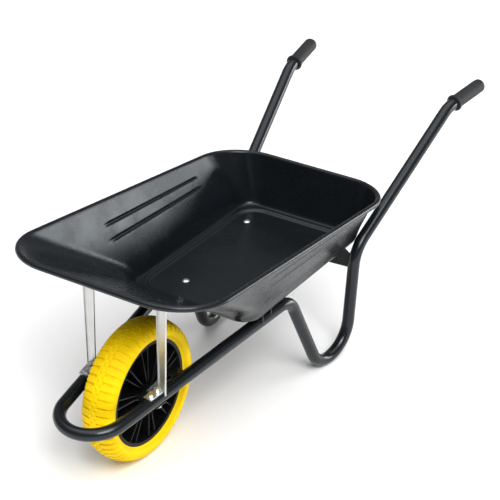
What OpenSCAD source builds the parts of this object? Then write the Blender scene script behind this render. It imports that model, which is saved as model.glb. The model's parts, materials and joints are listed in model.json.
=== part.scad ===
// Builder's wheelbarrow: a pressed tray on one bent tube frame, with a single front wheel.
// Millimetres. +Z is up, the wheel leads towards -Y and the handles end towards +Y.
// Left is the user's left, +X, when standing between the handles and facing the wheel.
// Positions along the barrow are counted from the axle; ORIGIN_Y moves them to the box centre.

/* [Part] */
// Piece to show

/* [Frame tube] */
// Outside diameter of the frame tube
tube_d = 32; // [28:0.5:34]
// Wall thickness of the frame tube
tube_wall = 1.5; // [1:0.1:3]
// Half the distance between the rails' centre lines above the axle
rail_half = 106; // [104:0.5:108]
// Angle at which each side of the frame opens towards the handles
splay = 7.6; // [7:0.1:8.2]
// Height of the rails' centre lines above the axle
rail_z0 = 226; // [224.5:0.5:227.5]
// Rise of the rails for each millimetre towards the rear
rail_rise = 0.1035; // [0.098:0.0005:0.109]
// Bend radius of the nose around the front of the wheel
nose_r = 83; // [82:0.5:85]
// Distance from the axle to the bend at the top of the front leg
leg_top_y = 425.4; // [415:0.1:430]
// Distance from the axle to the corner at the foot of the front leg
foot_y = 549.6; // [540:0.1:550]
// Height of the sharp corner that the foot's bend rounds off
foot_z = 1.87; // [-4:0.01:6]
// Distance from the axle to the lower bend of the rear leg
heel_y = 667.3; // [667:0.1:680]
// Height of the lower bend of the rear leg
heel_z = 36.8; // [34:0.1:50]
// Distance from the axle to the bend where the rear leg turns into the handle
knee_y = 692.4; // [688:0.1:698]
// Height of that bend
knee_z = 297.8; // [290:0.1:305]
// Distance from the axle to the bend below the grip
wrist_y = 1083.6; // [1070:0.1:1086]
// Height of the bend below the grip
wrist_z = 569; // [560:0.1:576]
// Distance from the axle to the end of the grip
end_y = 1237.4; // [1235:0.1:1250]
// Height of the end of the grip
end_z = 586.2; // [580:0.1:595]
// Bend radii from the leg top to the wrist
bend_top = 54; // [48:0.5:60]
// Bend radius at the foot
bend_foot = 70; // [60:0.5:70]
// Bend radius at the heel
bend_heel = 90; // [80:0.5:90]
// Bend radius at the knee
bend_knee = 100; // [80:0.5:105]
// Bend radius at the wrist
bend_wrist = 80; // [60:0.5:90]

/* [Tray] */
// Offset between the outer and inner skins of the pressed sheet
sheet = 0.8; // [0.6:0.1:1]
// Height of the underside of the floor panel
floor_z = 297; // [293:0.5:300]
// Depth of the step around the floor panel
floor_step = 6.5; // [4:0.5:9]
// Height of the rim's centre line above the axle
rim_z0 = 530; // [520:0.5:540]
// Fall of the rim for each millimetre towards the rear
rim_fall = 0.112; // [0.1:0.001:0.124]
// Distance from the axle forward to the front rim
rim_front = 162; // [155:0.5:170]
// Distance from the axle back to the rear rim
rim_rear = 788; // [780:0.5:796]
// Half width of the rim at its front corners
rim_half_front = 280; // [272:0.5:288]
// Half width of the rim at its rear corners
rim_half_rear = 260.5; // [254:0.5:266]
// Corner radius of the rim at the front
rim_r_front = 137; // [120:1:145]
// Corner radius of the rim at the rear
rim_r_rear = 130; // [110:1:138]
// Diameter of the rolled edge
bead_d = 12.5; // [10:0.5:14]

/* [Wheel] */
// Outside diameter of the tyre
wheel_d = 360; // [352:1:364]
// Width of the tyre
tyre_w = 90; // [84:1:98]
// Radius at which the tyre meets the rim's lip
bead_r = 136.5; // [134:0.5:140]
// Half width over the rim's lips
lip_x = 34.4; // [30:0.1:38]
// Half length of the hub
hub_x = 34; // [30:0.5:37]
// Number of rib pairs around the rim
rib_pairs = 10; // [6:1:12]
// Diameter of the axle
axle_d = 16; // [12:0.5:20]
// Radial clearance of the bushes on the axle
run_gap = 0.05; // [0.01:0.01:0.1]

/* [Fittings] */
// Diameter of the tray and strut bolts
bolt_d = 8; // [6:1:9]
// Length of each grip
grip_len = 128; // [110:1:130]
// Outside diameter of each grip
grip_d = 37; // [36:0.5:42]
// Distance between the inner faces of the axle brackets, halved
ear_x = 42; // [40.5:0.5:46]
// Thickness of the bracket ears
ear_t = 4; // [3:0.5:6]

/* [Hidden] */
ORIGIN_Y = 487;
$fn = 64;
tube_r = tube_d / 2;
axle_r = axle_d / 2;
bolt_r = bolt_d / 2;
axle_z = wheel_d / 2;

// Frame geometry: slope of the rails' plane, slope in a side's own plane, splay in the rails' plane
rail_slope = atan(rail_rise);
side_slope = atan(rail_rise * cos(splay));
plane_splay = atan(tan(splay) * cos(rail_slope));
nose_t = (nose_r - rail_half * cos(plane_splay)) / sin(plane_splay);
nose_join_y = (nose_t - nose_r * sin(plane_splay)) * cos(rail_slope);
function rail_z(y) = rail_z0 + rail_rise * y;
function in_side(y, z) = [y / cos(splay), z];
grip_end = in_side(end_y, end_z);
wrist_pt = in_side(wrist_y, wrist_z);
handle_dir = (grip_end - wrist_pt) / norm(grip_end - wrist_pt);
handle_angle = atan2(handle_dir[1], handle_dir[0]);
side_pts = [
  in_side(nose_join_y, rail_z(nose_join_y)),
  in_side(leg_top_y, rail_z(leg_top_y)),
  in_side(foot_y, foot_z),
  in_side(heel_y, heel_z),
  in_side(knee_y, knee_z),
  wrist_pt,
  grip_end - handle_dir * 5
];
side_r = [0, bend_top, bend_foot, bend_heel, bend_knee, bend_wrist, 0];
last_pt = len(side_pts) - 1;
function heading(i) = atan2(side_pts[i + 1][1] - side_pts[i][1], side_pts[i + 1][0] - side_pts[i][0]);
function turn(i) = i == 0 || i == last_pt ? 0 : heading(i) - heading(i - 1);
function cut_back(i) = side_r[i] * tan(abs(turn(i)) / 2);
function along(i) = [cos(heading(i)), sin(heading(i))];

// Tray wall geometry: the front wall runs from its foot line to the rim
wall_foot_y = 186;
wall_foot_z = 342;
rim_front_z = rim_z0 + rim_fall * rim_front;
wall_rise = (rim_front_z - wall_foot_z) / (wall_foot_y + rim_front);
wall_slope = atan(wall_rise);
function wall_z(y) = wall_foot_z + wall_rise * (wall_foot_y - y);
rim_tilt = atan(rim_fall);

// Bolt places
wall_bolt_x = 107.5;
wall_bolt_y = -55;
front_bolt_y = -76;
rear_bolt_y = -54;
axle_half = ear_x + ear_t + 19;

// Strut: a shallow channel, open to the front, that stands on the rail and leans back a little
strut_out = 4;
strut_foot = [-44, 226];
strut_head = [-37.7, wall_z(-37.7) + 1.5];
strut_half_top = 15;
strut_half_foot = 11.5;
strut_depth = 5;
strut_sheet = 2;
strut_lean = atan((strut_head[0] - strut_foot[0]) / (strut_head[1] - strut_foot[1]));
tab_t = 3;

front_member_y = 319;
rear_brace_y = 690;
floor_places = [[80, front_member_y], [-80, front_member_y], [124, 668], [-124, 668]];

// A pair of copies, the second mirrored to the right side
module both_sides() {
  children();
  mirror([1, 0, 0])
    children();
}

// Moves a child from the left side's upright plane into place
module left_side() {
  translate([rail_half, 0, 0])
    rotate([0, 0, -splay])
      children();
}

// Places a child on the left rail's centre line with +Y along the rail
module on_rail(y) {
  left_side()
    translate([0, y / cos(splay), rail_z(y)])
      rotate([side_slope, 0, 0])
        children();
}

// A bar with a short collar centred on each joint with a bend, so that neighbours close up cleanly
module joined_bar(length, r, first, last) {
  translate([0, 0, first ? 0.1 : 0])
    cylinder(h = length - (first ? 0.1 : 0) - (last ? 0.1 : 0), r = r);
  if (first)
    translate([0, 0, -0.5])
      cylinder(h = 1, r = r + 0.05);
  if (last)
    translate([0, 0, length - 0.5])
      cylinder(h = 1, r = r + 0.05);
}

// The room taken by the left rail's straight stretch, with a hair of clearance
module rail_clearance() {
  on_rail(0)
    translate([0, -150, 0])
      rotate([-90, 0, 0])
        cylinder(h = 500, r = tube_r + 0.06);
}

// A straight stretch of one side's tube
module straight(i, r, extra) {
  start = side_pts[i] + along(i) * cut_back(i);
  finish = side_pts[i + 1] - along(i) * cut_back(i + 1);
  translate([0, start[0], start[1]])
    rotate([heading(i) - 90, 0, 0])
      joined_bar(norm(finish - start) + extra, r, true, i < last_pt - 1, $fn = 48);
}

// A bend of one side's tube
module bend(i, r) {
  side = turn(i) > 0 ? 1 : -1;
  start = side_pts[i] - along(i - 1) * cut_back(i);
  normal = [-along(i - 1)[1], along(i - 1)[0]] * side;
  centre = start + normal * side_r[i];
  angle0 = atan2(-normal[1], -normal[0]);
  translate([0, centre[0], centre[1]])
    rotate([90, 0, 90])
      rotate([0, 0, min(angle0, angle0 + turn(i))])
        rotate_extrude(angle = abs(turn(i)), $fn = 96)
          translate([side_r[i], 0])
            circle(r = r, $fn = 48);
}

// The whole bent bar at one radius, run past its ends by extra
module frame_bar(r, extra) {
  both_sides()
    left_side() {
      for (i = [0 : last_pt - 1])
        straight(i, r, i == last_pt - 1 ? extra : 0);
      for (i = [1 : last_pt - 1])
        bend(i, r);
    }
  translate([0, 0, rail_z0])
    rotate([rail_slope, 0, 0])
      translate([0, nose_t, 0])
        rotate([0, 0, 180 + plane_splay])
          rotate_extrude(angle = 180 - 2 * plane_splay, $fn = 96)
            translate([nose_r, 0])
              circle(r = r, $fn = 48);
}

module frame_tube() {
  color([0.16, 0.17, 0.18])
    difference() {
      frame_bar(tube_r, 0);
      frame_bar(tube_r - tube_wall, 1);
      both_sides()
        on_rail(rear_bolt_y)
          translate([0, 0, -30])
            cylinder(h = 60, r = bolt_r + 0.3);
      both_sides()
        on_rail(front_bolt_y)
          cylinder(h = 30, r = bolt_r + 0.3);
    }
}

// A flat plate in the upright plane across the barrow, drawn as y and z
module side_plate(x, thickness) {
  translate([x, 0, 0])
    rotate([90, 0, 90])
      linear_extrude(height = thickness)
        children();
}

module hexagon(across) {
  corner = across / sqrt(3);
  polygon([for (k = [0 : 5]) [corner * cos(60 * k), corner * sin(60 * k)]]);
}

// A hexagon nut standing on the XY plane
module nut(across, height, bore_r) {
  linear_extrude(height = height)
    difference() {
      hexagon(across);
      circle(r = bore_r);
    }
}

module washer(outer_r, inner_r, height) {
  linear_extrude(height = height)
    difference() {
      circle(r = outer_r);
      circle(r = inner_r);
    }
}

// A dome-headed bolt whose head stands above the XY plane
module dome_bolt(shank) {
  translate([0, 0, -shank])
    cylinder(h = shank + 1, r = bolt_r);
  cylinder(h = 1.4, r = 9.5);
  translate([0, 0, 1.4])
    cylinder(h = 2.6, r1 = 9.5, r2 = 5);
}

// Four corner discs of one tray layer, as a thin slab
module layer(half_front, half_rear, front, rear, r_front, r_rear, inset) {
  for (s = [-1, 1]) {
    translate([s * (half_front - r_front), front + r_front, 0])
      cylinder(h = 0.02, r = r_front - inset, $fn = 40);
    translate([s * (half_rear - r_rear), rear - r_rear, 0])
      cylinder(h = 0.02, r = r_rear - inset, $fn = 40);
  }
}

module panel_low(inset) {
  translate([0, 0, floor_z + inset])
    layer(163, 163, 235, 735, 56, 56, inset);
}

module panel_high(inset) {
  translate([0, 0, floor_z + floor_step + inset])
    layer(169, 169, 229, 741, 62, 62, inset);
}

module floor_layer(inset) {
  translate([0, 0, floor_z + floor_step + inset])
    layer(182, 182, 213, 757, 45, 45, inset);
}

module foot_layer(inset) {
  translate([0, 0, wall_foot_z + inset])
    layer(193, 193, wall_foot_y, 765, 60, 60, inset);
}

// Moves a child into the tilted plane of the rim
module in_rim_plane() {
  translate([0, 0, rim_z0])
    rotate([-rim_tilt, 0, 0])
      children();
}

module rim_layer(inset) {
  translate([0, 0, inset])
    in_rim_plane()
      layer(rim_half_front, rim_half_rear, -rim_front / cos(rim_tilt), rim_rear / cos(rim_tilt),
        rim_r_front, rim_r_rear, inset);
}

// The tray's volume inside one skin
module tray_volume(inset) {
  hull() {
    panel_low(inset);
    panel_high(inset);
  }
  hull() {
    floor_layer(inset);
    foot_layer(inset);
  }
  hull() {
    foot_layer(inset);
    rim_layer(inset);
  }
}

// Centres of the rim's corner arcs and the angle of its sides
rim_len = (rim_front + rim_rear) / cos(rim_tilt);
side_lean = atan((rim_half_front - rim_half_rear) / rim_len);
function rim_side(t) = rim_half_front - tan(side_lean) * (t + rim_front / cos(rim_tilt));
arc_front = [
  rim_side(-rim_front / cos(rim_tilt) + rim_r_front) - rim_r_front / cos(side_lean),
  -rim_front / cos(rim_tilt) + rim_r_front
];
arc_rear = [
  rim_side(rim_rear / cos(rim_tilt) - rim_r_rear) - rim_r_rear / cos(side_lean),
  rim_rear / cos(rim_tilt) - rim_r_rear
];

// The rolled edge at one radius, in the rim plane
module bead_bar(r) {
  for (end = [0, 1]) {
    c = end == 0 ? arc_front : arc_rear;
    big = end == 0 ? rim_r_front : rim_r_rear;
    y = end == 0 ? c[1] - big : c[1] + big;
    translate([-c[0], y, 0])
      rotate([0, 90, 0])
        joined_bar(2 * c[0], r, true, true, $fn = 24);
  }
  both_sides() {
    start = arc_front + rim_r_front * [cos(side_lean), sin(side_lean)];
    finish = arc_rear + rim_r_rear * [cos(side_lean), sin(side_lean)];
    translate([start[0], start[1], 0])
      rotate([-90, 0, side_lean])
        joined_bar(norm(finish - start), r, true, true, $fn = 24);
    translate([arc_front[0], arc_front[1], 0])
      rotate([0, 0, -90])
        rotate_extrude(angle = 90 + side_lean, $fn = 96)
          translate([rim_r_front, 0])
            circle(r = r, $fn = 24);
    translate([arc_rear[0], arc_rear[1], 0])
      rotate([0, 0, side_lean])
        rotate_extrude(angle = 90 - side_lean, $fn = 96)
          translate([rim_r_rear, 0])
            circle(r = r, $fn = 24);
  }
}

// Moves a child to the front wall's outer skin with +Z leading into the tray
module on_wall(x) {
  translate([x, wall_bolt_y, wall_z(wall_bolt_y)])
    rotate([-wall_slope, 0, 0])
      children();
}

module tray() {
  color([0.25, 0.27, 0.29])
    difference() {
      union() {
        difference() {
          tray_volume(0);
          tray_volume(sheet);
        }
        in_rim_plane()
          bead_bar(bead_d / 2);
      }
      for (s = [-1, 1])
        on_wall(s * wall_bolt_x)
          translate([0, 0, -10])
            cylinder(h = 20, r = bolt_r + 0.3);
      for (p = floor_places)
        translate([p[0], p[1], floor_z - 5])
          cylinder(h = 20, r = bolt_r + 0.3);
    }
}

module front_cross_member() {
  color([0.16, 0.17, 0.18])
    difference() {
      translate([-164, front_member_y - 20, 264])
        cube([328, 40, floor_z - 264]);
      translate([-170, front_member_y - 17, 260])
        cube([340, 34, floor_z - 263]);
      both_sides()
        rail_clearance();
      for (s = [-1, 1])
        translate([s * 80, front_member_y, 280])
          cylinder(h = 30, r = bolt_r + 0.3);
    }
}

module rear_cross_brace() {
  color([0.16, 0.17, 0.18])
    difference() {
      union() {
        translate([0, rear_brace_y + 1.5, 0])
          rotate([90, 0, 0])
            linear_extrude(height = 3)
              polygon([[-190, 243], [-90, 238], [0, 237], [90, 238], [190, 243], [190, 280],
                [165, floor_z], [-165, floor_z], [-190, 280]]);
        translate([-160, rear_brace_y - 44, floor_z - 3])
          cube([320, 45, 3]);
      }
      both_sides()
        left_side() {
          straight(3, tube_r + 0.06, 0);
          bend(4, tube_r + 0.06);
          straight(4, tube_r + 0.06, 0);
        }
      for (s = [-1, 1])
        translate([s * 124, 668, 280])
          cylinder(h = 30, r = bolt_r + 0.3);
    }
}

// Front view of the strut, less an inset at both edges
module strut_face(inset) {
  length = strut_head[1] - strut_foot[1];
  polygon([
    [-strut_half_foot + inset, 0],
    [strut_half_foot - inset, 0],
    [strut_half_top - inset, length],
    [-strut_half_top + inset, length]
  ]);
}

module strut() {
  color([0.78, 0.79, 0.8])
    difference() {
      union() {
        left_side()
          translate([strut_out, strut_foot[0], strut_foot[1]])
            rotate([90 - strut_lean, 0, 0])
              translate([0, 0, -strut_depth / 2])
                difference() {
                  linear_extrude(height = strut_depth)
                    strut_face(0);
                  translate([0, 0, strut_sheet])
                    linear_extrude(height = strut_depth)
                      strut_face(strut_sheet);
                }
        on_wall(wall_bolt_x)
          translate([-strut_half_top - 3, -14, -tab_t])
            cube([2 * strut_half_top, 40, tab_t]);
        on_rail(strut_foot[0])
          translate([-12, -44, tube_r])
            cube([24, 50, tab_t]);
      }
      on_wall(0)
        translate([0, -100, 0])
          cube([200, 200, 100]);
      on_wall(wall_bolt_x)
        translate([0, 0, -10])
          cylinder(h = 20, r = bolt_r + 0.3);
      for (y = [front_bolt_y, rear_bolt_y])
        on_rail(y)
          cylinder(h = 40, r = bolt_r + 0.3);
      rail_clearance();
    }
}

// An ear beside the hub on two flanges. The front one is bolted under the rail, and the rear one is
// welded to the rail's inner side
module axle_bracket() {
  color([0.16, 0.17, 0.18])
    difference() {
      union() {
        on_rail(rear_bolt_y)
          translate([-75, -17, -tube_r - 3.5])
            cube([85, 34, 3.5]);
        on_rail(-rear_bolt_y)
          translate([-75, -17, -tube_r - 2])
            cube([70, 34, 3.5]);
        side_plate(ear_x, ear_t) {
          polygon([[-70, 202], [70, 216.5], [15, 172], [-15, 172]]);
          translate([0, axle_z])
            circle(r = 17);
        }
      }
      rail_clearance();
      on_rail(rear_bolt_y)
        translate([0, 0, -40])
          cylinder(h = 60, r = bolt_r + 0.3);
      translate([ear_x - 10, 0, axle_z])
        rotate([0, 90, 0])
          cylinder(h = 30, r = axle_r + 0.2);
      translate([0, -100, 150])
        cube([ear_x, 200, 100]);
    }
}

// Turns a child's +Z to +X at the axle
module on_axle(x) {
  translate([x, 0, axle_z])
    rotate([0, 90, 0])
      children();
}

module axle() {
  color([0.7, 0.71, 0.72])
    on_axle(-axle_half)
      cylinder(h = 2 * axle_half, r = axle_r);
}

module axle_spacers() {
  color([0.7, 0.71, 0.72])
    both_sides()
      on_axle(hub_x + 3)
        washer(12, axle_r + 0.1, ear_x - hub_x - 3);
}

module axle_washers() {
  color([0.78, 0.79, 0.8])
    both_sides()
      on_axle(ear_x + ear_t)
        washer(15, axle_r + 0.3, 2.5);
}

module axle_nuts() {
  color([0.78, 0.79, 0.8])
    both_sides()
      on_axle(ear_x + ear_t + 2.5)
        nut(24, 13, axle_r + 0.05);
}

module grip() {
  color([0.2, 0.2, 0.21])
    left_side()
      translate([0, grip_end[0], grip_end[1]])
        rotate([handle_angle - 90, 0, 0])
          difference() {
            translate([0, 0, -grip_len]) {
              cylinder(h = grip_len - 8, r = grip_d / 2);
              cylinder(h = grip_len, r = grip_d / 2 - 8);
              translate([0, 0, grip_len - 8])
                rotate_extrude()
                  intersection() {
                    translate([grip_d / 2 - 8, 0])
                      circle(r = 8, $fn = 32);
                    square([grip_d, 20]);
                  }
              cylinder(h = 6, r = grip_d / 2 + 4.5);
            }
            translate([0, 0, -grip_len - 1])
              cylinder(h = grip_len - 4, r = tube_r + 0.06);
          }
}

// A short bolt ahead of each strut, and one from below through bracket, rail and strut foot
module rail_bolts() {
  color([0.78, 0.79, 0.8])
    both_sides() {
      on_rail(front_bolt_y)
        translate([0, 0, tube_r + tab_t + 1.6]) {
          linear_extrude(height = 5.3)
            hexagon(13);
          translate([0, 0, -13])
            cylinder(h = 14, r = bolt_r);
        }
      on_rail(rear_bolt_y)
        translate([0, 0, -tube_r - 5.1 - 5.3]) {
          linear_extrude(height = 5.3)
            hexagon(13);
          translate([0, 0, 4.3])
            cylinder(h = 51, r = bolt_r);
        }
    }
}

module rail_washers() {
  color([0.78, 0.79, 0.8])
    both_sides() {
      for (y = [front_bolt_y, rear_bolt_y])
        on_rail(y)
          translate([0, 0, tube_r + tab_t])
            washer(8, bolt_r + 0.2, 1.6);
      on_rail(rear_bolt_y)
        translate([0, 0, -tube_r - 5.1])
          washer(8, bolt_r + 0.2, 1.6);
    }
}

module rail_nuts() {
  color([0.78, 0.79, 0.8])
    both_sides()
      on_rail(rear_bolt_y)
        translate([0, 0, tube_r + tab_t + 1.6])
          nut(13, 6.8, bolt_r + 0.05);
}

module wall_bolts() {
  color([0.78, 0.79, 0.8])
    for (s = [-1, 1])
      on_wall(s * wall_bolt_x)
        translate([0, 0, 1.5])
          dome_bolt(19);
}

module wall_washers() {
  color([0.78, 0.79, 0.8])
    for (s = [-1, 1])
      on_wall(s * wall_bolt_x)
        translate([0, 0, -4.6])
          washer(8.2, bolt_r + 0.2, 1.6);
}

module wall_nuts() {
  color([0.78, 0.79, 0.8])
    for (s = [-1, 1])
      on_wall(s * wall_bolt_x)
        translate([0, 0, -11.4])
          nut(13, 6.8, bolt_r + 0.05);
}

module floor_bolts() {
  color([0.78, 0.79, 0.8])
    for (p = floor_places)
      translate([p[0], p[1], floor_z + sheet])
        dome_bolt(18);
}

module floor_washers() {
  color([0.78, 0.79, 0.8])
    for (p = floor_places)
      translate([p[0], p[1], floor_z - 4.6])
        washer(8.5, bolt_r + 0.2, 1.6);
}

module floor_nuts() {
  color([0.78, 0.79, 0.8])
    for (p = floor_places)
      translate([p[0], p[1], floor_z - 11.4])
        nut(13, 6.8, bolt_r + 0.05);
}

// Tyre section: a wide crown arc with two shoulder arcs that touch it from inside
crown_r = 75;
shoulder_r = 22;
shoulder_x = tyre_w / 2 - shoulder_r;
crown_c = wheel_d / 2 - crown_r;
shoulder_c = crown_c + sqrt(pow(crown_r - shoulder_r, 2) - pow(shoulder_x, 2));
shoulder_a = atan2(shoulder_x, shoulder_c - crown_c);
touch_r = crown_c + crown_r * cos(shoulder_a);
touch_x = crown_r * sin(shoulder_a);
seat_r = 131;
seat_x = lip_x - 3;

module tyre() {
  color([0.95, 0.78, 0.05])
    on_axle(0)
      rotate_extrude($fn = 128) {
        intersection() {
          translate([crown_c, 0])
            circle(r = crown_r, $fn = 128);
          translate([touch_r, -touch_x])
            square([20, 2 * touch_x]);
        }
        for (s = [-1, 1])
          intersection() {
            translate([shoulder_c, s * shoulder_x])
              circle(r = shoulder_r, $fn = 128);
            translate([shoulder_c, -60])
              square([60, 120]);
          }
        polygon([[bead_r, -lip_x], [shoulder_c, -tyre_w / 2 + 0.01], [shoulder_c, -shoulder_x],
          [touch_r, -touch_x], [touch_r, touch_x], [shoulder_c, shoulder_x],
          [shoulder_c, tyre_w / 2 - 0.01], [bead_r, lip_x]]);
        translate([seat_r, -seat_x])
          square([bead_r - seat_r + 1, 2 * seat_x]);
      }
}

module wheel_rim() {
  color([0.07, 0.07, 0.08])
    on_axle(0)
      difference() {
        union() {
          rotate_extrude($fn = 128) {
            translate([seat_r - 3.5, -lip_x])
              square([3.5, 2 * lip_x]);
            for (s = [-1, 1]) {
              translate([seat_r - 3.5, s > 0 ? seat_x : -lip_x])
                square([bead_r - seat_r + 3.5, lip_x - seat_x]);
              translate([20, s > 0 ? 0 : -hub_x])
                square([6, hub_x]);
            }
            translate([20, -2])
              square([seat_r - 22, 4]);
          }
          for (k = [0 : rib_pairs - 1])
            for (s = [-1, 1])
              rotate([0, 0, 360 / rib_pairs * k + 4 + s * 5.5])
                rotate([90, 0, 0])
                  translate([0, 0, -1.6])
                    linear_extrude(height = 3.2)
                      polygon([[22, -hub_x + 2], [seat_r - 2, -lip_x + 4], [seat_r - 2, lip_x - 4],
                        [22, hub_x - 2]]);
        }
        translate([0, 0, -60])
          cylinder(h = 120, r = 20.5);
      }
  color([0.07, 0.07, 0.08])
    on_axle(-hub_x)
      washer(20.5, 12.5, 2 * hub_x);
}

module hub_bushes() {
  color([0.85, 0.85, 0.82])
    both_sides()
      on_axle(hub_x - 24)
        rotate_extrude()
          polygon([[axle_r + run_gap, 0], [12.5, 0], [12.5, 24], [17, 24], [17, 26.5],
            [axle_r + run_gap, 26.5]]);
}

module place() {
  translate([0, -ORIGIN_Y, 0])
    children();
}

place() tray();
place() frame_tube();
place() front_cross_member();
place() rear_cross_brace();
place() strut();  // left_strut
place() mirror([1, 0, 0]) strut();  // right_strut
place() axle_bracket();  // left_axle_bracket
place() mirror([1, 0, 0]) axle_bracket();  // right_axle_bracket
place() axle();
place() axle_spacers();
place() axle_washers();
place() axle_nuts();
place() grip();  // left_grip
place() mirror([1, 0, 0]) grip();  // right_grip
place() rail_bolts();
place() rail_washers();
place() rail_nuts();
place() wall_bolts();
place() wall_washers();
place() wall_nuts();
place() floor_bolts();
place() floor_washers();
place() floor_nuts();
place() tyre();
place() wheel_rim();
place() hub_bushes();
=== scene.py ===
import json
import math

import bmesh
import bpy
import numpy as np
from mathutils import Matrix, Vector


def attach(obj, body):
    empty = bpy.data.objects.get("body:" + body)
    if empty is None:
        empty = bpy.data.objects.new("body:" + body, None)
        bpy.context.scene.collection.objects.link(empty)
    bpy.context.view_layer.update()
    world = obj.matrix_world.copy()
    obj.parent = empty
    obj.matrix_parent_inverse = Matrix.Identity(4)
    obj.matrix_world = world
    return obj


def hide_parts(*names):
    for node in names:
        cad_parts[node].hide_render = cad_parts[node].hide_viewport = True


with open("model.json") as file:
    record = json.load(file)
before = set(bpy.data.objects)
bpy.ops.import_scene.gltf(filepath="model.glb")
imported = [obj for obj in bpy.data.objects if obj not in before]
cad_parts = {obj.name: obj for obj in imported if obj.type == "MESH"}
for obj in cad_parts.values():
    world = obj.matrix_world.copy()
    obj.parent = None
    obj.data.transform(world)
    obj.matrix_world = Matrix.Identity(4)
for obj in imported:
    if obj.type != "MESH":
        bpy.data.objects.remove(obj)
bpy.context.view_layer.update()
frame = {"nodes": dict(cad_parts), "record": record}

MM = 0.001
CHASSIS, WHEEL = "chassis", "wheel"

# ---------------------------------------------------------------- dimensions
# in mm, y from the axle and z from the ground
SPIN = frame["record"]["behaviour"]["joints"][0]["pos_m"]
AXLE_Y, AXLE_Z = -SPIN[1] / MM, SPIN[2] / MM      # the axle lies AXLE_Y ahead of the frame's origin
TUBE_R = 16.0
RAIL_HALF, SPLAY = 106.0, math.radians(7.6)
RAIL_Z, RAIL_RISE = 226.0, 0.1035
NOSE_R = 83.0


def to_frame(points):
    """Millimetres, y from the axle and z from the ground, become metres in the shared frame."""
    p = np.asarray(points, float).copy()
    p[..., 1] -= AXLE_Y
    return p * MM


# ---------------------------------------------------------------- small helpers
def mesh_object(name, verts, faces, smooth=True):
    mesh = bpy.data.meshes.new(name)
    mesh.from_pydata([tuple(v) for v in verts], [], [tuple(f) for f in faces])
    mesh.validate()
    mesh.update()
    if smooth:
        mesh.polygons.foreach_set("use_smooth", [True] * len(mesh.polygons))
    obj = bpy.data.objects.new(name, mesh)
    bpy.context.scene.collection.objects.link(obj)
    return obj


def grid_faces(rows, cols, close_rows=False):
    """Quads of a grid of rows x cols points. Each row wraps round, and so do the columns where asked."""
    out = []
    for r in range(rows if close_rows else rows - 1):
        r1 = (r + 1) % rows
        for c in range(cols):
            c1 = (c + 1) % cols
            out.append((r * cols + c, r * cols + c1, r1 * cols + c1, r1 * cols + c))
    return out


def edit_mesh(obj, change):
    """Runs change on a bmesh of the object and writes the result back."""
    bm = bmesh.new()
    bm.from_mesh(obj.data)
    change(bm)
    bm.to_mesh(obj.data)
    bm.free()


def recalc(obj):
    edit_mesh(obj, lambda bm: bmesh.ops.recalc_face_normals(bm, faces=bm.faces))


def flip(obj):
    edit_mesh(obj, lambda bm: bmesh.ops.reverse_faces(bm, faces=bm.faces))


def sharp_by_angle(obj, degrees):
    """Marks every edge sharp where two faces meet at more than the angle."""
    limit = math.radians(degrees)

    def mark(bm):
        for e in bm.edges:
            e.smooth = not (len(e.link_faces) == 2 and e.calc_face_angle(0) > limit)

    edit_mesh(obj, mark)


def apply_modifiers(obj):
    bpy.context.view_layer.update()
    dg = bpy.context.evaluated_depsgraph_get()
    mesh = bpy.data.meshes.new_from_object(obj.evaluated_get(dg))
    obj.modifiers.clear()
    obj.data = mesh


# ---------------------------------------------------------------- materials
def new_material(name):
    m = bpy.data.materials.new(name)
    m.use_nodes = True
    nt = m.node_tree
    bsdf = nt.nodes["Principled BSDF"]
    return m, nt, bsdf


def node(nt, kind, **values):
    n = nt.nodes.new(kind)
    for k, v in values.items():
        setattr(n, k, v)
    return n


def noise(nt, scale, detail, rough, stretch=None):
    out = node(nt, "ShaderNodeTexCoord").outputs["Object"]
    if stretch is not None:
        mp = node(nt, "ShaderNodeMapping")
        mp.inputs["Scale"].default_value = stretch
        nt.links.new(out, mp.inputs["Vector"])
        out = mp.outputs["Vector"]
    t = node(nt, "ShaderNodeTexNoise")
    t.inputs["Scale"].default_value = scale
    t.inputs["Detail"].default_value = detail
    t.inputs["Roughness"].default_value = rough
    nt.links.new(out, t.inputs["Vector"])
    return t


def ramp(nt, fac, stops):
    r = node(nt, "ShaderNodeValToRGB")
    while len(r.color_ramp.elements) < len(stops):
        r.color_ramp.elements.new(0.5)
    for e, (pos, col) in zip(r.color_ramp.elements, stops):
        e.position = pos
        e.color = (*col, 1.0)
    nt.links.new(fac, r.inputs["Fac"])
    return r


def grey(v):
    return (v, v, v)


NOISE_RANGE = (0.3, 0.7)             # most of a noise texture's values lie between these


def remap(nt, value, lo, hi):
    """A noise value turned into one between lo and hi."""
    m = node(nt, "ShaderNodeMapRange")
    m.inputs["From Min"].default_value, m.inputs["From Max"].default_value = NOISE_RANGE
    m.inputs["To Min"].default_value = lo
    m.inputs["To Max"].default_value = hi
    nt.links.new(value, m.inputs["Value"])
    return m.outputs["Result"]


def bump(nt, bsdf, heights):
    """Chains bumps of (height socket, strength, distance)."""
    last = None
    for h, strength, dist in heights:
        b = node(nt, "ShaderNodeBump")
        b.inputs["Strength"].default_value = strength
        b.inputs["Distance"].default_value = dist
        nt.links.new(h, b.inputs["Height"])
        if last is not None:
            nt.links.new(last, b.inputs["Normal"])
        last = b.outputs["Normal"]
    nt.links.new(last, bsdf.inputs["Normal"])


def mix(nt, fac, a, b, blend="MIX"):
    """Mixes two colours, each a tuple or a socket, by a number or a socket."""
    m = node(nt, "ShaderNodeMix", data_type="RGBA", blend_type=blend)
    for sock, v in ((m.inputs[0], fac), (m.inputs[6], a), (m.inputs[7], b)):
        if isinstance(v, (int, float)):
            sock.default_value = v
        elif isinstance(v, tuple):
            sock.default_value = (*v, 1.0)
        else:
            nt.links.new(v, sock)
    return m.outputs[2]


PAINT_TINT = (0.88, 0.96, 1.0, 1.0)   # the paint's highlights lean to blue


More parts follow.
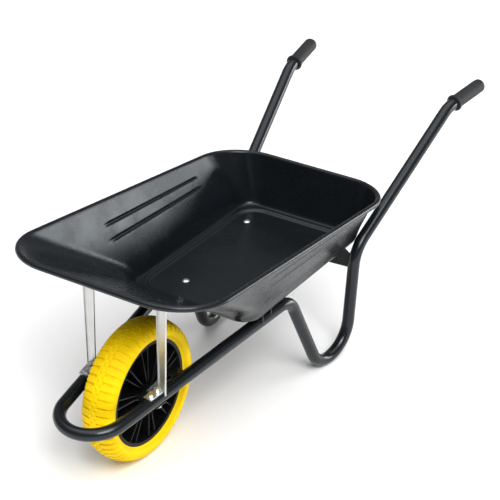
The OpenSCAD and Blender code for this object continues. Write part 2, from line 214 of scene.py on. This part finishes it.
def painted(name, base, light, rough, peel, wear, spec):
    """Sprayed paint on steel: soft tone drift, orange peel, roughness patches and rubbed edges."""
    m, nt, bsdf = new_material(name)
    drift = noise(nt, 5.0, 5.0, 0.55)
    speck = noise(nt, 900.0, 2.0, 0.6)
    c = ramp(nt, drift.outputs["Fac"], [(0.3, base), (0.7, light)]).outputs["Color"]
    fine = ramp(nt, speck.outputs["Fac"], [(0.35, grey(0.86)), (0.7, grey(1.12))]).outputs["Color"]
    c = mix(nt, 1.0, c, fine, "MULTIPLY")
    geo = node(nt, "ShaderNodeNewGeometry")
    edge = ramp(nt, geo.outputs["Pointiness"], [(0.52, grey(0.0)), (0.60, grey(1.0))]).outputs["Color"]
    spots = noise(nt, 60.0, 6.0, 0.7)
    patch = ramp(nt, spots.outputs["Fac"], [(0.45, grey(0.0)), (0.62, grey(1.0))]).outputs["Color"]
    rub = mix(nt, 1.0, edge, patch, "MULTIPLY")
    bw = node(nt, "ShaderNodeMath", operation="MULTIPLY")
    nt.links.new(rub, bw.inputs[0])
    bw.inputs[1].default_value = wear
    c = mix(nt, bw.outputs[0], c, tuple(min(1.0, 3.0 * v + 0.05) for v in light))
    nt.links.new(c, bsdf.inputs["Base Color"])
    r = noise(nt, 14.0, 6.0, 0.65)
    nt.links.new(remap(nt, r.outputs["Fac"], rough - 0.05, rough + 0.07), bsdf.inputs["Roughness"])
    bsdf.inputs["Specular IOR Level"].default_value = spec
    bsdf.inputs["Specular Tint"].default_value = PAINT_TINT
    orange = noise(nt, 260.0, 3.0, 0.5)
    wave = noise(nt, 9.0, 2.0, 0.4)
    bump(nt, bsdf, [(orange.outputs["Fac"], peel, 0.0006), (wave.outputs["Fac"], 0.05, 0.003)])
    return m


def plated(name, tone, rough, along):
    """Bright zinc: faint drawn streaks, cloudy passivation and a slightly uneven sheen."""
    m, nt, bsdf = new_material(name)
    cloud = noise(nt, 30.0, 5.0, 0.6)
    streak = noise(nt, 40.0, 4.0, 0.6, stretch=along)
    c = ramp(nt, cloud.outputs["Fac"], [(0.3, tuple(0.82 * v for v in tone)), (0.7, tone)]).outputs["Color"]
    s = ramp(nt, streak.outputs["Fac"], [(0.35, grey(0.88)), (0.65, grey(1.04))]).outputs["Color"]
    nt.links.new(mix(nt, 1.0, c, s, "MULTIPLY"), bsdf.inputs["Base Color"])
    bsdf.inputs["Metallic"].default_value = 0.9
    nt.links.new(remap(nt, cloud.outputs["Fac"], rough - 0.06, rough + 0.1), bsdf.inputs["Roughness"])
    bump(nt, bsdf, [(streak.outputs["Fac"], 0.12, 0.0004), (cloud.outputs["Fac"], 0.08, 0.0006)])
    return m


def moulded(name, base, light, rough, grain, spec, grain_size=1100.0):
    """Moulded plastic or rubber: fine grain and slight tone drift."""
    m, nt, bsdf = new_material(name)
    drift = noise(nt, 12.0, 4.0, 0.6)
    fine = noise(nt, grain_size, 2.0, 0.5)
    c = ramp(nt, drift.outputs["Fac"], [(0.3, base), (0.72, light)]).outputs["Color"]
    f = ramp(nt, fine.outputs["Fac"], [(0.3, grey(0.9)), (0.7, grey(1.08))]).outputs["Color"]
    nt.links.new(mix(nt, 1.0, c, f, "MULTIPLY"), bsdf.inputs["Base Color"])
    nt.links.new(remap(nt, drift.outputs["Fac"], rough - 0.05, rough + 0.06), bsdf.inputs["Roughness"])
    bsdf.inputs["Specular IOR Level"].default_value = spec
    bump(nt, bsdf, [(fine.outputs["Fac"], grain, 0.0005), (drift.outputs["Fac"], 0.1, 0.002)])
    return m


MAT = {
    "painted_steel_tray": painted(
        "tray_paint", base=(0.0045, 0.0058, 0.0072), light=(0.0065, 0.0082, 0.0102),
        rough=0.25, peel=0.06, wear=0.2, spec=0.34),
    "painted_steel_frame": painted(
        "frame_paint", base=(0.0050, 0.0060, 0.0072), light=(0.0072, 0.0086, 0.0104),
        rough=0.22, peel=0.08, wear=0.15, spec=0.4),
    "galvanised": plated("strut_zinc", tone=(0.66, 0.67, 0.66), rough=0.36, along=(1.0, 1.0, 0.05)),
    "plated_steel": plated("fastener_zinc", tone=(0.70, 0.71, 0.72), rough=0.28, along=(1.0, 1.0, 1.0)),
    "grip_rubber": moulded(
        "grip_rubber", base=(0.011, 0.012, 0.014), light=(0.017, 0.019, 0.021),
        rough=0.6, grain=0.35, spec=0.3),
    "yellow_tyre": moulded(
        "tyre_yellow", base=(0.82, 0.55, 0.001), light=(0.90, 0.63, 0.002),
        rough=0.6, grain=0.25, spec=0.10, grain_size=700.0),
    "black_plastic": moulded(
        "rim_plastic", base=(0.0040, 0.0040, 0.0050), light=(0.0065, 0.0065, 0.0080),
        rough=0.40, grain=0.12, spec=0.18),
    "bush_plastic": moulded(
        "bush_nylon", base=(0.62, 0.61, 0.57), light=(0.70, 0.69, 0.65),
        rough=0.45, grain=0.12, spec=0.5),
}


def dress(obj, slot_name, body):
    """Gives a new piece its material, its slot and the body that it rides on."""
    obj.data.materials.clear()
    obj.data.materials.append(MAT[slot_name])
    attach(obj, body)


# ---------------------------------------------------------------- frame tube
def unit(v):
    return v / np.linalg.norm(v)


def in_side(y, z):
    """A point of a side's upright plane: its distance along the plane, and its height."""
    return np.array([y / math.cos(SPLAY), z])


def filleted(points, radii, step_deg):
    """A planar polyline with arcs at its corners."""
    out = [points[0]]
    for i in range(1, len(points) - 1):
        d1, d2 = unit(points[i] - points[i - 1]), unit(points[i + 1] - points[i])
        turn = math.atan2(d1[0] * d2[1] - d1[1] * d2[0], float(d1 @ d2))
        cut = radii[i] * math.tan(abs(turn) / 2)
        side = 1.0 if turn > 0 else -1.0
        normal = np.array([-d1[1], d1[0]]) * side
        centre = points[i] - d1 * cut + normal * radii[i]
        n = max(4, int(abs(math.degrees(turn)) / step_deg))
        v = -normal * radii[i]
        for k in range(n + 1):
            c, s = math.cos(turn * k / n), math.sin(turn * k / n)
            out.append(centre + [v[0] * c - v[1] * s, v[0] * s + v[1] * c])
    out.append(points[-1])
    return np.array(out)


rail_tilt = math.atan(RAIL_RISE)
plane_splay = math.atan(math.tan(SPLAY) * math.cos(rail_tilt))
nose_t = (NOSE_R - RAIL_HALF * math.cos(plane_splay)) / math.sin(plane_splay)
nose_join_y = (nose_t - NOSE_R * math.sin(plane_splay)) * math.cos(rail_tilt)
RAIL_END_Y = 425.4                    # where the rail turns down into the front leg
FOOT_FRONT = in_side(549.6, 1.87)
FOOT_REAR = in_side(667.3, 36.8)
KNEE = in_side(692.4, 297.8)
WRIST = in_side(1083.6, 569.0)
GRIP_END = in_side(1237.4, 586.2)
BAR_SHORT = 6.0                       # the bar ends this far inside the grip's closed end
handle_dir = unit(GRIP_END - WRIST)


def on_rail(y):
    return in_side(y, RAIL_Z + RAIL_RISE * y)


SIDE_BENDS = [                        # corners of one side's centre line, each with its bend radius
    (on_rail(nose_join_y), 0),
    (on_rail(RAIL_END_Y), 54),
    (FOOT_FRONT, 70),
    (FOOT_REAR, 90),
    (KNEE, 100),
    (WRIST, 80),
    (GRIP_END - handle_dir * BAR_SHORT, 0),
]
BEND_STEP_DEG = 2.0
NOSE_STEPS = 90
RING_SPACING, RING_SIDES = 25.0, 48   # the bar's rings are about this far apart on the straights


def side_to_space(p, mirror=1.0):
    """Points of a side's upright plane, as space points on the left (+X) or right side."""
    p = np.asarray(p)
    x = RAIL_HALF + p[:, 0] * math.sin(SPLAY)
    return np.stack([mirror * x, p[:, 0] * math.cos(SPLAY), p[:, 1]], 1)


def densify(points, spacing):
    """The polyline with points put in until none of its steps is twice the spacing."""
    out = [points[0]]
    for a, b in zip(points[:-1], points[1:]):
        n = max(1, int(np.linalg.norm(b - a) / spacing))
        out += [a + (b - a) * k / n for k in range(1, n + 1)]
    return np.array(out)


def sweep(name, path, radius, around):
    """A round bar with flat ends along a path, its rings turned by parallel transport."""
    n = len(path)
    tang = np.array([unit(path[min(i + 1, n - 1)] - path[max(i - 1, 0)]) for i in range(n)])
    up = np.array([0.0, 0.0, 1.0]) if abs(tang[0][2]) < 0.9 else np.array([1.0, 0.0, 0.0])
    u = unit(np.cross(tang[0], up))
    ang = np.linspace(0, 2 * math.pi, around, endpoint=False)
    rings = []
    for i in range(n):
        u = unit(u - tang[i] * float(u @ tang[i]))
        v = np.cross(tang[i], u)
        rings.append(path[i] + radius * (np.outer(np.cos(ang), u) + np.outer(np.sin(ang), v)))
    verts = np.vstack(rings)
    faces = grid_faces(n, around)
    faces.append(tuple(range(around))[::-1])
    faces.append(tuple((n - 1) * around + k for k in range(around)))
    obj = mesh_object(name, to_frame(verts), faces)
    recalc(obj)
    return obj


side_line = filleted([p for p, _ in SIDE_BENDS], [r for _, r in SIDE_BENDS], BEND_STEP_DEG)
left = side_to_space(side_line)
right = side_to_space(side_line, -1.0)
arc = np.linspace(2 * math.pi - plane_splay, math.pi + plane_splay, NOSE_STEPS)[1:-1]
nose_pts = np.stack([
    NOSE_R * np.cos(arc),
    (nose_t + NOSE_R * np.sin(arc)) * math.cos(rail_tilt),
    RAIL_Z + (nose_t + NOSE_R * np.sin(arc)) * math.sin(rail_tilt),
], 1)
bar_path = densify(np.vstack([left[::-1], nose_pts, right]), RING_SPACING)
tube = sweep("frame_bar", bar_path, TUBE_R, RING_SIDES)
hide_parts("frame_tube")
dress(tube, "painted_steel_frame", CHASSIS)

# ---------------------------------------------------------------- tray
SHEET = 1.2
RIM_Z, RIM_FALL = 530.0, 0.112        # the edge's height at the axle, and how it falls towards the rear
FLOOR_Z, FLOOR_STEP, FOOT_Z = 297.0, 6.5, 342.0
FLOOR_MID_Y = 485.0
FLOOR_SHARES = (0.02, 0.3, 0.6, 0.85)  # rings of the floor, from its middle outwards
N_FRONT, N_CORNER, N_REAR = 14, 26, 12

ROLL_R = 6.25                         # the rolled edge
ROLL_DEG = np.concatenate([np.arange(10, 271, 10), [285.0]])
CURL_FROM_DEG, CURL_SHRINK = 200, 0.1  # past this turn the roll closes in by this share per right angle

SWAGE_T = (0.36, 0.62)                # two long plain beads on each side wall, by their share of its height
SWAGE_ENDS = (205.0, 600.0)
SWAGE_FADE, SWAGE_HALF, SWAGE_DEPTH = 22.0, 0.045, 2.6
SIDE_START_Y, SIDE_LENGTH = -25.0, 683.0  # about where a side's straight run lies, to place the beads' ends
SIDE_STEPS, FADE_STEPS, SMALLEST_STEP = 56, 17, 0.0016
WALL_ROWS, BEAD_ROWS = 26, 13


def level(hf, hr, yf, yr, rf, rr, z, fall=0.0):
    """One level of the tray: half widths and corner radii in front and at the rear, the front and
    rear y, and the height at the axle with its fall."""
    return dict(hf=hf, hr=hr, yf=yf, yr=yr, rf=rf, rr=rr, z=z, fall=fall)


FLOOR_INNER = level(150, 150, 248, 722, 44, 44, FLOOR_Z)
FLOOR_EDGE = level(163, 163, 235, 735, 56, 56, FLOOR_Z)
LEDGE_INNER = level(169, 169, 229, 741, 62, 62, FLOOR_Z + FLOOR_STEP)
LEDGE_OUTER = level(182, 182, 213, 757, 45, 45, FLOOR_Z + FLOOR_STEP)
WALL_FOOT = level(193, 193, 186, 765, 60, 60, FOOT_Z)
RIM = level(280, 260.5, -162, 788, 137, 130, RIM_Z, RIM_FALL)
FOLD_CUTS = [0, 6, 5, 14, 34, 0]      # reach of the rounding at each level from FLOOR_INNER to the edge
FOLD_ROWS = [0, 4, 4, 6, 8, 0]


def side_places():
    """Places along a tray side, 0 at its front end and 1 at its rear end, close together where beads end."""
    t = list(np.linspace(0, 1, SIDE_STEPS))
    for y in SWAGE_ENDS:
        mid = (y - SIDE_START_Y) / SIDE_LENGTH
        t += list(mid + np.linspace(-1.3, 1.3, FADE_STEPS) * SWAGE_FADE / SIDE_LENGTH)
    t = sorted(set(round(v, 5) for v in t if 0 <= v <= 1))
    keep = [t[0]]
    for v in t[1:]:
        if v - keep[-1] > SMALLEST_STEP:
            keep.append(v)
    keep[-1] = 1.0
    return np.array(keep)


def wall_places():
    """Places up the wall, 0 at its foot and 1 at the edge, close together at the beads."""
    even = [round(float(v), 4) for v in np.linspace(0, 1, WALL_ROWS)[1:]]
    beads = [c + d * SWAGE_HALF for c in SWAGE_T for d in np.linspace(-1.1, 1.1, BEAD_ROWS)]
    return sorted(set(even + [round(float(v), 4) for v in beads]))


SIDE_T = side_places()


def outline(lv):
    """Points and outward directions round one level, from the front middle towards +X."""
    cf = np.array([lv["hf"] - lv["rf"], lv["yf"] + lv["rf"]])
    cr = np.array([lv["hr"] - lv["rr"], lv["yr"] - lv["rr"]])
    d = cr - cf
    phi = math.atan2(d[1], d[0]) - math.acos((lv["rf"] - lv["rr"]) / np.linalg.norm(d))
    pts, nrm = [], []

    def add(p, a):
        pts.append(p)
        nrm.append([math.cos(a), math.sin(a)])

    for k in range(N_FRONT):
        add(np.array([cf[0] * k / N_FRONT, lv["yf"]]), -math.pi / 2)
    for k in range(N_CORNER):
        a = -math.pi / 2 + (phi + math.pi / 2) * k / N_CORNER
        add(cf + lv["rf"] * np.array([math.cos(a), math.sin(a)]), a)
    a0 = cf + lv["rf"] * np.array([math.cos(phi), math.sin(phi)])
    a1 = cr + lv["rr"] * np.array([math.cos(phi), math.sin(phi)])
    for t in SIDE_T[:-1]:
        add(a0 + (a1 - a0) * t, phi)
    for k in range(N_CORNER):
        a = phi + (math.pi / 2 - phi) * k / N_CORNER
        add(cr + lv["rr"] * np.array([math.cos(a), math.sin(a)]), a)
    for k in range(N_REAR + 1):
        add(np.array([cr[0] * (1 - k / N_REAR), lv["yr"]]), math.pi / 2)
    pts, nrm = np.array(pts), np.array(nrm)
    mir = slice(len(pts) - 2, 0, -1)
    pts = np.vstack([pts, pts[mir] * [-1, 1]])
    nrm = np.vstack([nrm, nrm[mir] * [-1, 1]])
    z = lv["z"] - lv["fall"] * pts[:, 1]
    return np.column_stack([pts, z]), nrm


def rounded_rows(vertices, cuts, samples):
    """Rows along polylines through the vertices, each inner vertex rounded by a quadratic arc.
    vertices is a list of arrays of points, one array per vertex."""
    rows = [vertices[0]]
    for i in range(1, len(vertices) - 1):
        v, a, b = vertices[i], vertices[i - 1], vertices[i + 1]
        la = np.linalg.norm(a - v, axis=1, keepdims=True)
        lb = np.linalg.norm(b - v, axis=1, keepdims=True)
        p0 = v + (a - v) / la * np.minimum(cuts[i], 0.48 * la)
        p1 = v + (b - v) / lb * np.minimum(cuts[i], 0.48 * lb)
        for k in range(samples[i] + 1):
            t = k / samples[i]
            rows.append(p0 * (1 - t) ** 2 + 2 * v * t * (1 - t) + p1 * t ** 2)
    rows.append(vertices[-1])
    return rows


def smooth_step(v):
    return v * v * (3 - 2 * v)


def bead_height(row, t, on_side):
    """How far each point of the wall row at place t stands out on the beads."""
    along = np.clip((row[:, 1] - SWAGE_ENDS[0]) / SWAGE_FADE, 0, 1)
    along = along * np.clip((SWAGE_ENDS[1] - row[:, 1]) / SWAGE_FADE, 0, 1)
    across = sum(smooth_step(max(0.0, 1 - abs(t - c) / SWAGE_HALF)) for c in SWAGE_T)
    return SWAGE_DEPTH * smooth_step(along) * across * on_side


def tray_rows():
    """Rings of points from the floor's inner ring over the ledge and up the wall to the rolled edge."""
    inner, edge, ledge_in, ledge_out, foot = [
        outline(lv)[0] for lv in (FLOOR_INNER, FLOOR_EDGE, LEDGE_INNER, LEDGE_OUTER, WALL_FOOT)]
    rim, rim_n = outline(RIM)
    tilt = math.atan(RIM_FALL)
    up = np.array([0.0, math.sin(tilt), math.cos(tilt)])
    out = np.column_stack([rim_n, -RIM_FALL * rim_n[:, 1]])
    out /= np.linalg.norm(out, axis=1, keepdims=True)
    wall = rim - foot
    climb = np.arctan2(wall @ up, np.einsum("ij,ij->i", wall, out))
    start = climb + math.pi / 2                      # place on the roll where the wall touches it

    def on_roll(angle, r):
        return rim + r * (np.cos(angle)[:, None] * out + np.sin(angle)[:, None] * up)

    touch = on_roll(start, ROLL_R)
    rows = rounded_rows([inner, edge, ledge_in, ledge_out, foot, touch], FOLD_CUTS, FOLD_ROWS)[:-1]
    wall_from = rows[-1]
    normal = np.cross(np.roll(rim, -1, 0) - np.roll(rim, 1, 0), wall)
    normal /= np.linalg.norm(normal, axis=1, keepdims=True)
    outward = np.where(np.einsum("ij,ij->i", normal, out)[:, None] > 0, normal, -normal)
    on_side = np.abs(rim_n[:, 0]) > 0.999
    for t in wall_places():
        row = wall_from + (touch - wall_from) * t
        rows.append(row + outward * bead_height(row, t, on_side)[:, None])
    for deg in ROLL_DEG:
        r = ROLL_R * (1 - CURL_SHRINK * max(0, deg - CURL_FROM_DEG) / 90)
        rows.append(on_roll(start - math.radians(deg), r))
    return rows


def build_tray():
    rows = tray_rows()
    inner = rows[0]
    middle = np.array([0.0, FLOOR_MID_Y, FLOOR_Z])
    rows = [middle + (inner - middle) * share for share in FLOOR_SHARES] + rows
    faces = grid_faces(len(rows), len(inner))
    faces.append(tuple(range(len(inner))))
    obj = mesh_object("tray_shell", to_frame(np.vstack(rows)), faces)
    recalc(obj)
    if obj.data.polygons[-1].normal.z < 0:           # the last face is the floor's middle
        flip(obj)
    # with all faces turned to the tray's inside, the sheet's thickness is added there
    sheet = obj.modifiers.new("sheet", "SOLIDIFY")
    sheet.thickness = SHEET * MM
    sheet.offset = 1.0
    sheet.use_even_offset = True
    apply_modifiers(obj)
    return obj


tray = build_tray()
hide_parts("tray")
dress(tray, "painted_steel_tray", CHASSIS)


# ---------------------------------------------------------------- tyre
TYRE_R, CROWN_R, SHOULDER_R, TYRE_HALF = 180.0, 75.0, 22.0, 45.0
CROWN_XS = (0.0, 3.0, 5.0, 6.0, 9.0, 10.0, 12.5, 14.0, 17.0, 20.0, 24.0, 28.0, 31.0)
TYRE_FOOT, SIDE_BULGE = (35.6, 140.0), 1.6           # where the side ends, and how far it bellies out
TYRE_LIP = [
    (36.6, 140.6), (36.5, 139.2), (35.4, 138.0), (34.5, 136.6),
    (31.4, 136.2), (31.3, 133.6), (31.1, 131.0),
]

BLOCKS = 54                                          # on each half; the halves are half a pitch apart
CUT, EDGE = 0.27, 0.035                              # a groove and its sloping edge, as shares of the pitch
MARKS = [0.0, EDGE, CUT, CUT + EDGE, 0.34, 0.5, 0.5 + EDGE, 0.5 + CUT, 0.5 + EDGE + CUT, 0.86]
LEFT_CUT, RIGHT_CUT = (1, 2), (6, 7)                 # the marks at the bottom of each half's groove
# bands across a half as (from x, to x, depth); the first that holds a point gives its depth
GROOVE = [(16.0, 42.5, 4.2), (13.0, 44.0, 2.0), (9.0, 13.0, 5.0)]
PIT = [(2.5, 6.5, 2.4)]                              # near the middle, in line with the other half's groove
TREAD_FROM_R = 150.0


def revolve(name, profile, angles, radial):
    """Turns (x, r) profile points about the axle. radial holds what each angle adds to the radii."""
    rows = []
    for a, extra in zip(angles, radial):
        r = profile[:, 1] + extra
        rows.append(np.stack([profile[:, 0], -r * math.cos(a), AXLE_Z + r * math.sin(a)], 1))
    faces = grid_faces(len(angles), len(profile), close_rows=True)
    obj = mesh_object(name, to_frame(np.vstack(rows)), faces)
    recalc(obj)
    return obj


def tyre_profile():
    """The tyre's section as (x, r) points: crown, shoulder, side and lip, then the same mirrored."""
    crown_c = TYRE_R - CROWN_R
    shoulder_x = TYRE_HALF - SHOULDER_R
    shoulder_c = crown_c + math.sqrt((CROWN_R - SHOULDER_R) ** 2 - shoulder_x ** 2)
    start = math.atan2(shoulder_x, shoulder_c - crown_c)
    pts = [(x, crown_c + math.sqrt(CROWN_R ** 2 - x * x)) for x in CROWN_XS]
    for a in np.linspace(start, math.pi / 2 + 0.15, 15):
        pts.append((shoulder_x + SHOULDER_R * math.sin(a), shoulder_c + SHOULDER_R * math.cos(a)))
    x0, r0 = pts[-1]
    for t in (0.25, 0.5, 0.7):
        bulge = SIDE_BULGE * math.sin(math.pi * t)
        pts.append((x0 + (TYRE_FOOT[0] - x0) * t + bulge, r0 + (TYRE_FOOT[1] - r0) * t))
    half = np.array(pts + TYRE_LIP)
    return np.vstack([half, half[::-1][:-1] * [-1, 1]])


def tread_depth(x, k):
    """How deep the tread is cut at x across the tyre and at mark k of a block."""
    own, other = (LEFT_CUT, RIGHT_CUT) if x > 0 else (RIGHT_CUT, LEFT_CUT)
    bands = GROOVE if k in own else PIT if k in other else []
    for lo, hi, depth in bands:
        if lo < abs(x) < hi:
            return depth
    return 0.0


def build_tyre():
    prof = tyre_profile()
    angles, radial = [], []
    for block in range(BLOCKS):
        for k, mark in enumerate(MARKS):
            angles.append((block + mark) * (2 * math.pi / BLOCKS))
            radial.append([-tread_depth(x, k) if r >= TREAD_FROM_R else 0.0 for x, r in prof])
    return revolve("tyre_tread", prof, angles, np.array(radial))


tyre = build_tyre()
sharp_by_angle(tyre, 38)              # the blocks keep their hard edges
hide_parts("tyre")
dress(tyre, "yellow_tyre", WHEEL)


# ---------------------------------------------------------------- grips
GRIP_LENGTH, GRIP_R, GRIP_BORE, GRIP_SIDES = 128.0, 18.5, 16.05, 96
COLLAR = [
    (0.0, 21.4), (0.9, 22.6), (2.2, 23.0), (4.6, 23.0),
    (6.0, 22.4), (7.2, 20.6), (8.4, 18.9), (10.0, 18.2),
]
BARREL = [14.0 + 3.0 * k for k in range(33)] + [112.0]
DOME = [(117.0, 0.0), (119.0, 0.1), (121.5, 0.7), (124.0, 2.2), (126.0, 4.6), (127.4, 8.0), (127.9, 12.0)]
TIP_R = 2.0
RIBS, RIB_HEIGHT, RIB_ENDS, RIB_FADE = 24, 0.45, (12.0, 118.0), 4.0


def grip_profile():
    """(place along the grip, radius) from the collar to the domed end. DOME holds drops below GRIP_R."""
    prof = [(0.0, GRIP_BORE)] + COLLAR + [(place, GRIP_R) for place in BARREL]
    return prof + [(place, GRIP_R - drop) for place, drop in DOME] + [(GRIP_LENGTH, TIP_R)]


def rib(place, angle):
    """How far the long ribs stand out of the grip."""
    if not RIB_ENDS[0] < place < RIB_ENDS[1]:
        return 0.0
    fade = min(1.0, (place - RIB_ENDS[0]) / RIB_FADE, (RIB_ENDS[1] - place) / RIB_FADE)
    return RIB_HEIGHT * max(0.0, math.cos(RIBS * angle)) * fade


def build_grip(name, sign):
    end, further_in = side_to_space(np.array([GRIP_END, GRIP_END - handle_dir * 100]), sign)
    d = unit(end - further_in)
    u = unit(np.cross(d, [0, 0, 1.0]))
    v = np.cross(u, d)
    base = end - d * GRIP_LENGTH
    prof = grip_profile()
    verts = []
    for place, r in prof:
        for k in range(GRIP_SIDES):
            a = 2 * math.pi * k / GRIP_SIDES
            rr = r + rib(place, a)
            verts.append(base + d * place + u * rr * math.cos(a) + v * rr * math.sin(a))
    faces = grid_faces(len(prof), GRIP_SIDES)
    faces.append(tuple(range(GRIP_SIDES))[::-1])
    last = (len(prof) - 1) * GRIP_SIDES
    faces.append(tuple(last + k for k in range(GRIP_SIDES)))
    obj = mesh_object(name, to_frame(verts), faces)
    recalc(obj)
    return obj


for side_name, sign in (("left", 1.0), ("right", -1.0)):
    g = build_grip(side_name + "_hand_grip", sign)
    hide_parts(side_name + "_grip")
    dress(g, "grip_rubber", CHASSIS)

# ---------------------------------------------------------------- carried-over CAD pieces
slots = {s["node"]: s["material_slot"] for s in frame["record"]["subparts"]}
replaced = {"frame_tube", "tray", "tyre", "left_grip", "right_grip"}
BEVEL, BEVELS = 0.4, {"wheel_rim": 0.7, "left_strut": 0.5, "right_strut": 0.5}  # in mm
for n, obj in frame["nodes"].items():
    if n in replaced:
        continue
    obj.data.materials.clear()
    obj.data.materials.append(MAT[slots[n]])
    bev = obj.modifiers.new("edges", "BEVEL")
    bev.width = BEVELS.get(n, BEVEL) * MM
    bev.segments = 2
    bev.limit_method = "ANGLE"
    bev.angle_limit = math.radians(40)
    bev.harden_normals = False

# ---------------------------------------------------------------- stage, lights and camera
FLOOR_HALF = 300                       # metres; a low view still shows the dim surround above the floor
corners = [(sx * FLOOR_HALF, sy * FLOOR_HALF, 0) for sx, sy in ((-1, -1), (1, -1), (1, 1), (-1, 1))]
floor = mesh_object("studio_floor", corners, [(0, 1, 2, 3)], False)
fm, _, fb = new_material("studio_floor")
fb.inputs["Base Color"].default_value = (0.93, 0.93, 0.93, 1)
fb.inputs["Roughness"].default_value = 0.9
fb.inputs["Specular IOR Level"].default_value = 0.1
floor.data.materials.append(fm)

world = bpy.data.worlds.new("studio")
bpy.context.scene.world = world
world.use_nodes = True
bg = world.node_tree.nodes["Background"]
sky = world.node_tree
# a white ceiling over a dim surround: it fades out between about 64 and 44 degrees above the horizon
ray = node(sky, "ShaderNodeTexCoord")
parts = node(sky, "ShaderNodeSeparateXYZ")
sky.links.new(ray.outputs["Generated"], parts.inputs[0])
CEILING_STOPS = [(0.0, grey(0.11)), (0.70, grey(0.10)), (0.90, grey(1.0))]  # by the sine of that angle
ceiling = ramp(sky, parts.outputs["Z"], CEILING_STOPS)
sky.links.new(ceiling.outputs["Color"], bg.inputs["Color"])
bg.inputs["Strength"].default_value = 2.3


def area(name, size, power, place, target):
    """A soft rectangular light in watts and metres, turned to the target."""
    data = bpy.data.lights.new(name, "AREA")
    data.shape = "RECTANGLE"
    data.size, data.size_y = size
    data.energy = power
    obj = bpy.data.objects.new(name, data)
    bpy.context.scene.collection.objects.link(obj)
    obj.location = place
    d = Vector(target) - Vector(place)
    obj.rotation_euler = d.to_track_quat("-Z", "Y").to_euler()


area("key_soft", (2.2, 2.2), 170, (2.4, -2.0, 3.4), (0, 0, 0.3))
area("rear_left_soft", (3.0, 1.2), 98, (2.6, 3.4, 0.75), (-0.2, -0.2, 0.45))

SENSOR_MM, LENS_MM = 36.0, 121.4352
CAMERA_MM = (2070.1, -2682.9, 2451.1)  # y from the axle, z from the ground
CAMERA_TURN, CAMERA_DIP = math.radians(33.096), math.radians(29.225)

cam_data = bpy.data.cameras.new("photo_camera")
cam = bpy.data.objects.new("photo_camera", cam_data)
bpy.context.scene.collection.objects.link(cam)
cam_data.sensor_width = SENSOR_MM
cam_data.lens = LENS_MM
level_part = math.cos(CAMERA_DIP)
look = Vector((
    -math.sin(CAMERA_TURN) * level_part,
    math.cos(CAMERA_TURN) * level_part,
    -math.sin(CAMERA_DIP),
))
cam.location = Vector(to_frame(CAMERA_MM))
cam.rotation_mode = "QUATERNION"
cam.rotation_quaternion = look.to_track_quat("-Z", "Y")
cam_data.clip_start, cam_data.clip_end = 0.05, 100
bpy.context.scene.camera = cam
bpy.context.scene.view_settings.view_transform = "Standard"
